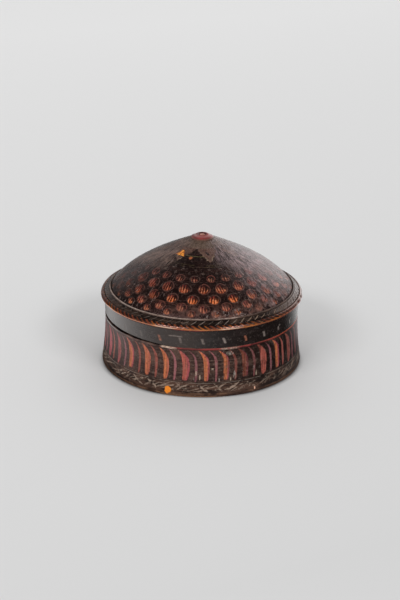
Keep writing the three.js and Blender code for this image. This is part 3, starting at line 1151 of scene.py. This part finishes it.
def crown_recipe(tree, turns, degrees, radius, height, place, streaks, blotches):
    along = Field(add_node(tree, "ShaderNodeAttribute", {"attribute_name": "along"}).outputs["Fac"]) / mm
    along = along - crown_foot / mm
    colour = mix(streaks.rise(0.4, 0.7) * 0.7 + blotches.rise(0.45, 0.65) * 0.3, "#100706", "#2d1b17")
    dulled = degrees.rise(24, 50) * (along.rise(8, 26) * 0.6 + 0.4)
    dulled = dulled.most(degrees.rise(-14, -42) * along.rise(6, 11) * 0.75)
    dull_red = mix(degrees.rise(0, 30), "#7c3c33", "#8e4c45")
    shown = 1 - degrees.between(-150, -120, -68, -50) * 0.75
    relief = streaks * 0.05
    for ring, (level, phase, width, tall, pointed, low, high, strength) in enumerate(roundel_rings):
        outline, filled, hatched, bright, lift, chance = use(
            tree, roundels, Along=along, Phase=phase, Level=level, Width=width, Tall=tall, Pointed=pointed,
            Seed=100 * (ring + 1),
        )
        middle = mix(dulled * 0.9, mix(lift.rise(-0.6, 0.5), low, high), dull_red)
        middle = shaded(middle, chance * 0.7 + 0.6)
        middle = coats(middle, (bright * (1 - dulled) * 0.45, "#e0a078"), (hatched * 0.9, "#1e0c0a"))
        outline_tone = mix(chance, "#7c4338", "#50413a")
        colour = coats(colour, (outline * shown * 0.75, outline_tone), (filled * shown * strength, middle))
        relief = relief + outline * 0.05 + filled * 0.04
    for level, phase, width, tall, tone, seed in dot_rings:
        _, filled, _, _, _, chance = use(
            tree, roundels, Along=along, Phase=phase, Level=level, Width=width, Tall=tall, Seed=seed
        )
        colour = mix(filled * (chance * 0.5 + 0.4), colour, tone)

    drawn_level = along + (noise(place, 45) - 0.5) * 0.9
    olive = sum(drawn_level.near(line, 0.16, 0.22) for line in high_lines)
    olive = olive * patches(tree, 160, 0.4, 0.55)
    brown = sum(drawn_level.near(line, 0.16, 0.2) for line in low_lines)
    greenish = drawn_level.near(green_line, 0.2, 0.25) * degrees.near(-13, 17, 2)

    _, off = use(tree, ring_cells, Turns=turns, Count=leaf_count, Phase=12.5)
    climb = (along - leaf_low) / leaf_length
    half = follow(climb, [(0, 0), (0.15, 0.12), (0.4, 0.36), (0.7, 0.7), (1, 1)]) * 24
    distance = arc(off.size() - half, radius) + (noise(place, 160) - 0.5) * 1.2
    distance = distance + (noise(place, 420, 4, 0.7) - 0.5) * 6
    leaf_edge = distance.rise(-1.5, -0.4) * climb.rise(0.9, 0.1) * patches(tree, 260, 0.35, 0.6)
    leaf_worn = patches(tree, 120, 0.6, 0.5, 4, 0.65).most(degrees.near(12, 26, 3))
    leaf = distance.rise(0.15, -0.15) * climb.rise(0, 0.03) * (leaf_worn * 0.75 + 0.25)
    eye_up = (along - eye_level) / 2.2
    eye_across = (arc(off, radius) + 0.7 + (along - eye_level) * 0.5) / 1.1
    eye = eye_across * eye_across + eye_up * eye_up + (noise(place, 480) - 0.5) * 1.6
    leaf_colour = coats(
        "#65493f", (blotches, "#4a372f"), (leaf_edge * 0.9, "#86755f"), (eye.rise(1.3, 0.6), "#201614")
    )

    flake_across = arc(degrees - flake_angle, radius) + (noise(place, 380, 4, 0.7) - 0.5) * 5
    flake_up = along - flake_level + (noise(place, 300, 4, 0.7) - 0.5) * 5
    flake = ((flake_across + 0.3).size() + flake_up * 0.66).rise(4.9, 4.2) * flake_up.rise(-0.2, 0.3)
    dab = flaked(tree, -19, 26.4 * mm, 92.3, (1.5, 1.5, 1.2), 2.6)
    # Paler brown patches over the crown's foot, from the front round to the right: partly wear and partly
    # painted reflection of the softboxes.
    worn_foot = degrees.rise(-28, -8) * along.rise(13, 5)
    worn_foot = worn_foot * patches(tree, 190, 0.42, 0.62, 5, 0.7)

    streaky = drawn(turns * 130, along * 0.1, 0, 5, 0.75)
    fine = drawn(turns * 330, along * 0.14, 5, 3, 0.7)
    crossing = streaky * 0.5 + fine * 0.5
    uneven = (streaky - 0.5) * 40
    flank = (degrees - 2).size()
    # Painted reflection with dust: the pale film on the flanks is partly dust and partly glare painted in.
    # The pink streaks on the right flank are painted reflection, and the pale scratches are real marks
    # painted pale where the glare catches them.
    film_low = flank * -0.5 + 59 + degrees.rise(-35, -65) * 12 + uneven * 1.5 + (blotches - 0.5) * 30
    sides = (uneven - degrees).rise(36, 60).most((uneven + degrees).rise(10, 36))
    film_and_glare = (along - film_low).rise(-6, 8) * flank.rise(125, 95) * sides.most(climb.rise(0.9, 1))
    film_and_glare = film_and_glare * (0.8 - degrees.rise(20, 50) * 0.15)
    film_and_glare_colour = mix(streaky.rise(0.40, 0.56), "#1b1412", mix(degrees.rise(0, 30), "#7c655b", "#7c686a"))
    pink_glare = streaky.rise(0.46, 0.60) * degrees.between(30, 55, 95, 120)
    scratches_and_glare = crossing.rise(0.56, 0.62) * (flank.rise(18, 45) * 0.75 + 0.1)
    dark_scratch = (flank.rise(18, 45) * 0.6 + climb.rise(0.4, 1) * 0.8).least(1)
    dark_scratch = dark_scratch * crossing.rise(0.48, 0.40)
    about_tip = drawn(turns * 48, along * 0.1, 9, 4, 0.75).rise(0.47, 0.40)
    about_tip = about_tip * climb.rise(0, 0.5) * flank.rise(20, 38)
    specks, pits = use(tree, aged)
    # Pale flecks at the crown's foot near 16 degrees: partly dust and partly painted glints where the right
    # softbox shines.
    flecks_and_glints = degrees.near(16, 13, 8) * along.rise(7, 3)
    flecks_and_glints = flecks_and_glints * patches(tree, 560, 0.56, 0.64, 3, 0.7)

    colour = coats(
        colour,
        (olive.least(1) * 0.7, "#50492e"),
        (brown.least(1) * 0.5, "#5d3a2c"),
        (leaf, leaf_colour),
        (climb.rise(0.97, 1), mix(streaks.rise(0.4, 0.7), "#5e4d40", "#46382f")),
        (greenish * 0.8, "#6b6540"),
        (flake, mix(patches(tree, 700, 0.4, 0.6), "#f2a238", "#c8641e")),
        (dab * 0.85, "#a05a34"),
        (worn_foot * 0.65, mix(blotches.rise(0.4, 0.6), "#6e4c40", "#4c352d")),
        (film_and_glare * (1 - leaf * 0.8), film_and_glare_colour),
        (pink_glare * 0.4, "#a08a8c"),
        (scratches_and_glare * 0.75, "#8c7872"),
        (dark_scratch * 0.8, "#1a1311"),
        (about_tip * 0.6, "#1d1412"),
        (specks * (degrees.rise(15, 45) * 0.2 + 0.07), "#a08a7e"),
        (pits * 0.6, "#0b0807"),
        (flecks_and_glints * 0.7, "#a39892"),
    )
    relief = relief - flake * 0.3 + streaky * 0.4 + fine * 0.2 + (specks - pits) * 0.04 + leaf * 0.05
    return colour, streaks * 0.1 + worn_foot * 0.25 + scratches_and_glare * 0.1 + film_and_glare * 0.1 + 0.2, relief


def crown_height(radius):
    """Height of the crown's outside over a radius."""
    radii, heights = zip(*reversed(crown_line))
    return float(np.interp(radius, radii, heights))


samples = [crown_point(i / crown_steps) for i in range(crown_steps + 1)]
crown_line = [tuple(point) for point, run in samples]
inner_line = [tuple(point + crown_wall * Vector((-run.y, run.x))) for point, run in samples]
inner_line = [point for point in inner_line if point[1] > crown_low.z]
crown = turned(
    "painted_crown",
    [
        (crown_high.x, crown_low.z),
        *crown_line,
        (peg_hole, crown_high.z),
        (peg_hole, inner_line[-1][1]),
        *reversed(inner_line),
        (inner_line[0][0] + crown_ledge, crown_low.z),
    ],
    [lacquered("painted crown", crown_recipe, 41, up=0, out=1, sheen="#ffcac4"), hollow],
    inner=lambda radius, height: height < crown_height(radius) - crown_wall / 2,
)
fixed(crown, "lid_crown", "lid")


# Bead. A half-round hoop in brown lacquer, glued over the joint of flange and crown. Along its top it is
# pale from the left round to the front, partly rubbed where the lid is held and partly a painted highlight.
bead_middle = (bead_high.x + crown_high.x + seat_gap) / 2
bead_half = (bead_high.x - crown_high.x - seat_gap) / 2
bead_rise = bead_high.z - bead_low.z
bead_steps = 10
bead_arc = [math.pi * i / bead_steps for i in range(bead_steps + 1)]


def bead_recipe(tree, turns, degrees, radius, height, place, streaks, blotches):
    crest = use(tree, rubbed_edge, Distance=bead_high.z - height, Reach=0.9 * mm, Seed=12)
    # Partly painted highlight: the top is pale from the left round to the front, and near 16 degrees where
    # the right softbox shines.
    pale = degrees.between(-95, -75, -8, 8) + degrees.near(16, 6.5, 2.5)
    patchy = patches(tree, 260, 0.3, 0.6, 4, 0.7) * 0.5 + 0.5
    rubbed = (crest * 0.8 + 0.2) * (pale.least(1) * 0.8 + 0.15) * patchy
    colour = coats("#2a201c", (blotches.rise(0.4, 0.6), "#4a3930"), (rubbed, "#a29086"))
    return colour, streaks * 0.2 + 0.25, streaks * 0.05


bead = turned(
    "joint_bead",
    [(bead_middle + bead_half * math.cos(a), bead_low.z + bead_rise * math.sin(a)) for a in bead_arc],
    [lacquered("bead brown", bead_recipe, 43, up=0, out=1)],
)
fixed(bead, "crown_bead", "lid")


# Button. The red tip of the lid, turned from wood with a sloping shoulder and pegged to the crown. A little
# dish is sunk in its top for the peg to stand in.
button_top_radius = 4.9 * mm
dish_radius = 3.6 * mm
dish_depth = 0.9 * mm
button_rise = button_high.z - button_low.z


def button_recipe(tree, turns, degrees, radius, height, place, streaks, blotches):
    from_peg = radius / mm
    colour = coats(
        "#883836",
        (blotches.rise(0.35, 0.65), "#602a27"),
        (from_peg.rise(7.9, 8.7) * 0.85, "#5a463b"),
        # Partly painted highlight: a pinkish-grey ring on the top, partly the top's own colour.
        (from_peg.near(5.6, 0.8, 0.9) * (blotches.rise(0.35, 0.6) * 0.5 + 0.2), "#a08480"),
        # Painted shade: a dark ring in the sunk dish round the peg.
        (from_peg.near(3, 0.7, 0.4) * 0.85, "#2a1311"),
    )
    return colour, streaks * 0.2 + 0.25, streaks * 0.05


button = turned(
    "tip_of_lid",
    softened([
        (button_high.x, button_low.z, joint_rounding),
        (button_high.x, button_low.z + button_rise / 6, 0.5 * mm),
        (button_top_radius, button_high.z - button_rise / 10, 1.2 * mm),
        ((button_top_radius + dish_radius) / 2, button_high.z, 0.3 * mm),
        (dish_radius, button_high.z - dish_depth / 4, 0.3 * mm),
        (peg_hole, button_high.z - dish_depth, 0.2 * mm),
        (peg_hole, button_low.z),
    ]),
    [lacquered("button red", button_recipe, 47, up=0, out=1)],
    steps=96,
)
fixed(button, "tip_button", "lid")


# Peg. A pin turned from plain wood, driven through button and crown to hold them together. Its rounded head
# shows in the dish and its tail inside the lid.
peg_low, peg_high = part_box("tip_peg")


def peg_recipe(tree, turns, degrees, radius, height, place, streaks, blotches):
    return mix(blotches.rise(0.3, 0.7), "#b88478", "#8a5a4c"), streaks * 0.2 + 0.35, streaks * 0.05


peg = turned(
    "peg",
    softened([
        (0, peg_low.z),
        (peg_high.x, peg_low.z, 0.4 * mm),
        (peg_high.x, peg_high.z - 0.2 * mm, 0.5 * mm),
        (0, peg_high.z),
    ]),
    [lacquered("peg wood", peg_recipe, 53, up=0, out=1)],
    steps=48,
)
fixed(peg, "tip_peg", "lid")


# Studio. A pale sheet runs out of sight under the box. Two softboxes at the front throw the two soft shadows
# and a wide one lights the back. What the lacquer mirrors is the glow of the sheet and of two lit walls.
sheet_half = 6.0
sheet_near = "#d2d2d2"


def softbox(name, azimuth, elevation, distance, width, height, power):
    """An area lamp aimed at the box, at an azimuth counted from the camera towards the right."""
    side, lift = math.radians(azimuth), math.radians(elevation)
    away = Vector((math.sin(side) * math.cos(lift), -math.cos(side) * math.cos(lift), math.sin(lift)))
    light = bpy.data.lights.new(name, "AREA")
    light.shape = "RECTANGLE"
    light.size = width
    light.size_y = height
    light.energy = power
    lamp = bpy.data.objects.new(name, light)
    scene.collection.objects.link(lamp)
    lamp.rotation_mode = "QUATERNION"
    lamp.rotation_quaternion = away.to_track_quat("Z", "Y")
    lamp.location = camera_aim + distance * away
    return lamp


softbox("key_right", azimuth=38, elevation=35, distance=4, width=1.5, height=0.7, power=47)
softbox("key_left", azimuth=-36, elevation=35, distance=4, width=1.9, height=0.7, power=50)
back_light = softbox("back_wide", azimuth=180, elevation=44, distance=3.5, width=4, height=2, power=36)
back_light.visible_glossy = False

sheet_mesh = bpy.data.meshes.new("sheet")
ends = (-sheet_half, sheet_half)
sheet_mesh.from_pydata([(x, y, 0) for y in ends for x in ends], [], [(0, 1, 3, 2)])
sheet = bpy.data.objects.new("sheet", sheet_mesh)
scene.collection.objects.link(sheet)
sheet_material = bpy.data.materials.new("pale sheet")
sheet_material.use_nodes = True
tree = sheet_material.node_tree
matt = tree.nodes["Principled BSDF"]
matt.inputs["Roughness"].default_value = 0.9
matt.inputs["Specular IOR Level"].default_value = 0.1
mirrored = Field(add_node(tree, "ShaderNodeLightPath").outputs["Is Glossy Ray"])
across, along, _ = split(own_point(tree))
from_axis = slant(across, along)
# The sheet is painted paler towards the back, as painted light, and darker in a ring round the foot of the
# box, as a painted contact shadow.
far = ((along - across * 0.5 + 0.34) / 1.74).most(0).least(1) ** 0.7
painted_contact_shadow = from_axis.rise(84 * mm, 79.5 * mm) * along.between(-82 * mm, -70 * mm, -40 * mm, 10 * mm)
painted_contact_shadow = painted_contact_shadow * 0.5 + from_axis.rise(81 * mm, 79.5 * mm) * 0.3
feed(matt.inputs["Base Color"], mix(painted_contact_shadow, mix(far, sheet_near, "#e7e7e7"), "#4a4645"))
beside = across.between(-0.36, -0.24, -0.2, -0.07) * along.rise(0.13, 0.05) * 2.75
ahead = across.rise(0.13, -0.04) * along.rise(0.16, 0)
behind = (along + across.rise(-0.05, 0.05) * 0.11).rise(0.11, 0.2) * across.rise(-0.26, -0.14)
clear = (from_axis + across.rise(-0.02, 0.04) * 0.06).rise(0.088, 0.128)
glow = (beside + ahead + behind * (across.rise(-0.1, 0.06) * 0.6 + 0.75)) * clear + 0.03
emission = add_node(tree, "ShaderNodeEmission", Color=sheet_near, Strength=glow)
blend = add_node(tree, "ShaderNodeMixShader", Fac=mirrored)
tree.links.new(matt.outputs[0], blend.inputs[1])
tree.links.new(emission.outputs[0], blend.inputs[2])
tree.links.new(blend.outputs[0], tree.nodes["Material Output"].inputs["Surface"])
sheet_mesh.materials.append(sheet_material)

scene.world = bpy.data.worlds.new("studio")
scene.world.use_nodes = True
tree = scene.world.node_tree
path = add_node(tree, "ShaderNodeLightPath")
seen, mirrored = Field(path.outputs["Is Camera Ray"]), Field(path.outputs["Is Glossy Ray"])
across, along, up = split(Field(add_node(tree, "ShaderNodeTexCoord").outputs["Generated"]))
turn = calc(tree, "ARCTAN2", across, along) / (2 * math.pi)
lit_right = (turn - up * 0.12).rise(-0.01, 0.03) * (turn - up * 0.09).rise(0.125, 0.045)
lit_left = turn.between(-0.13, -0.08, -0.05, 0)
walls = lit_right * up.rise(0.8, 0.6) * 2.2 + lit_left * up.rise(0.75, 0.5) * 0.45
ambient = (1 - mirrored) * 0.5 + mirrored * (walls + 0.06)
feed(tree.nodes["Background"].inputs["Strength"], seen * 0.73 + (1 - seen) * ambient)
feed(tree.nodes["Background"].inputs["Color"], "#ffffff")
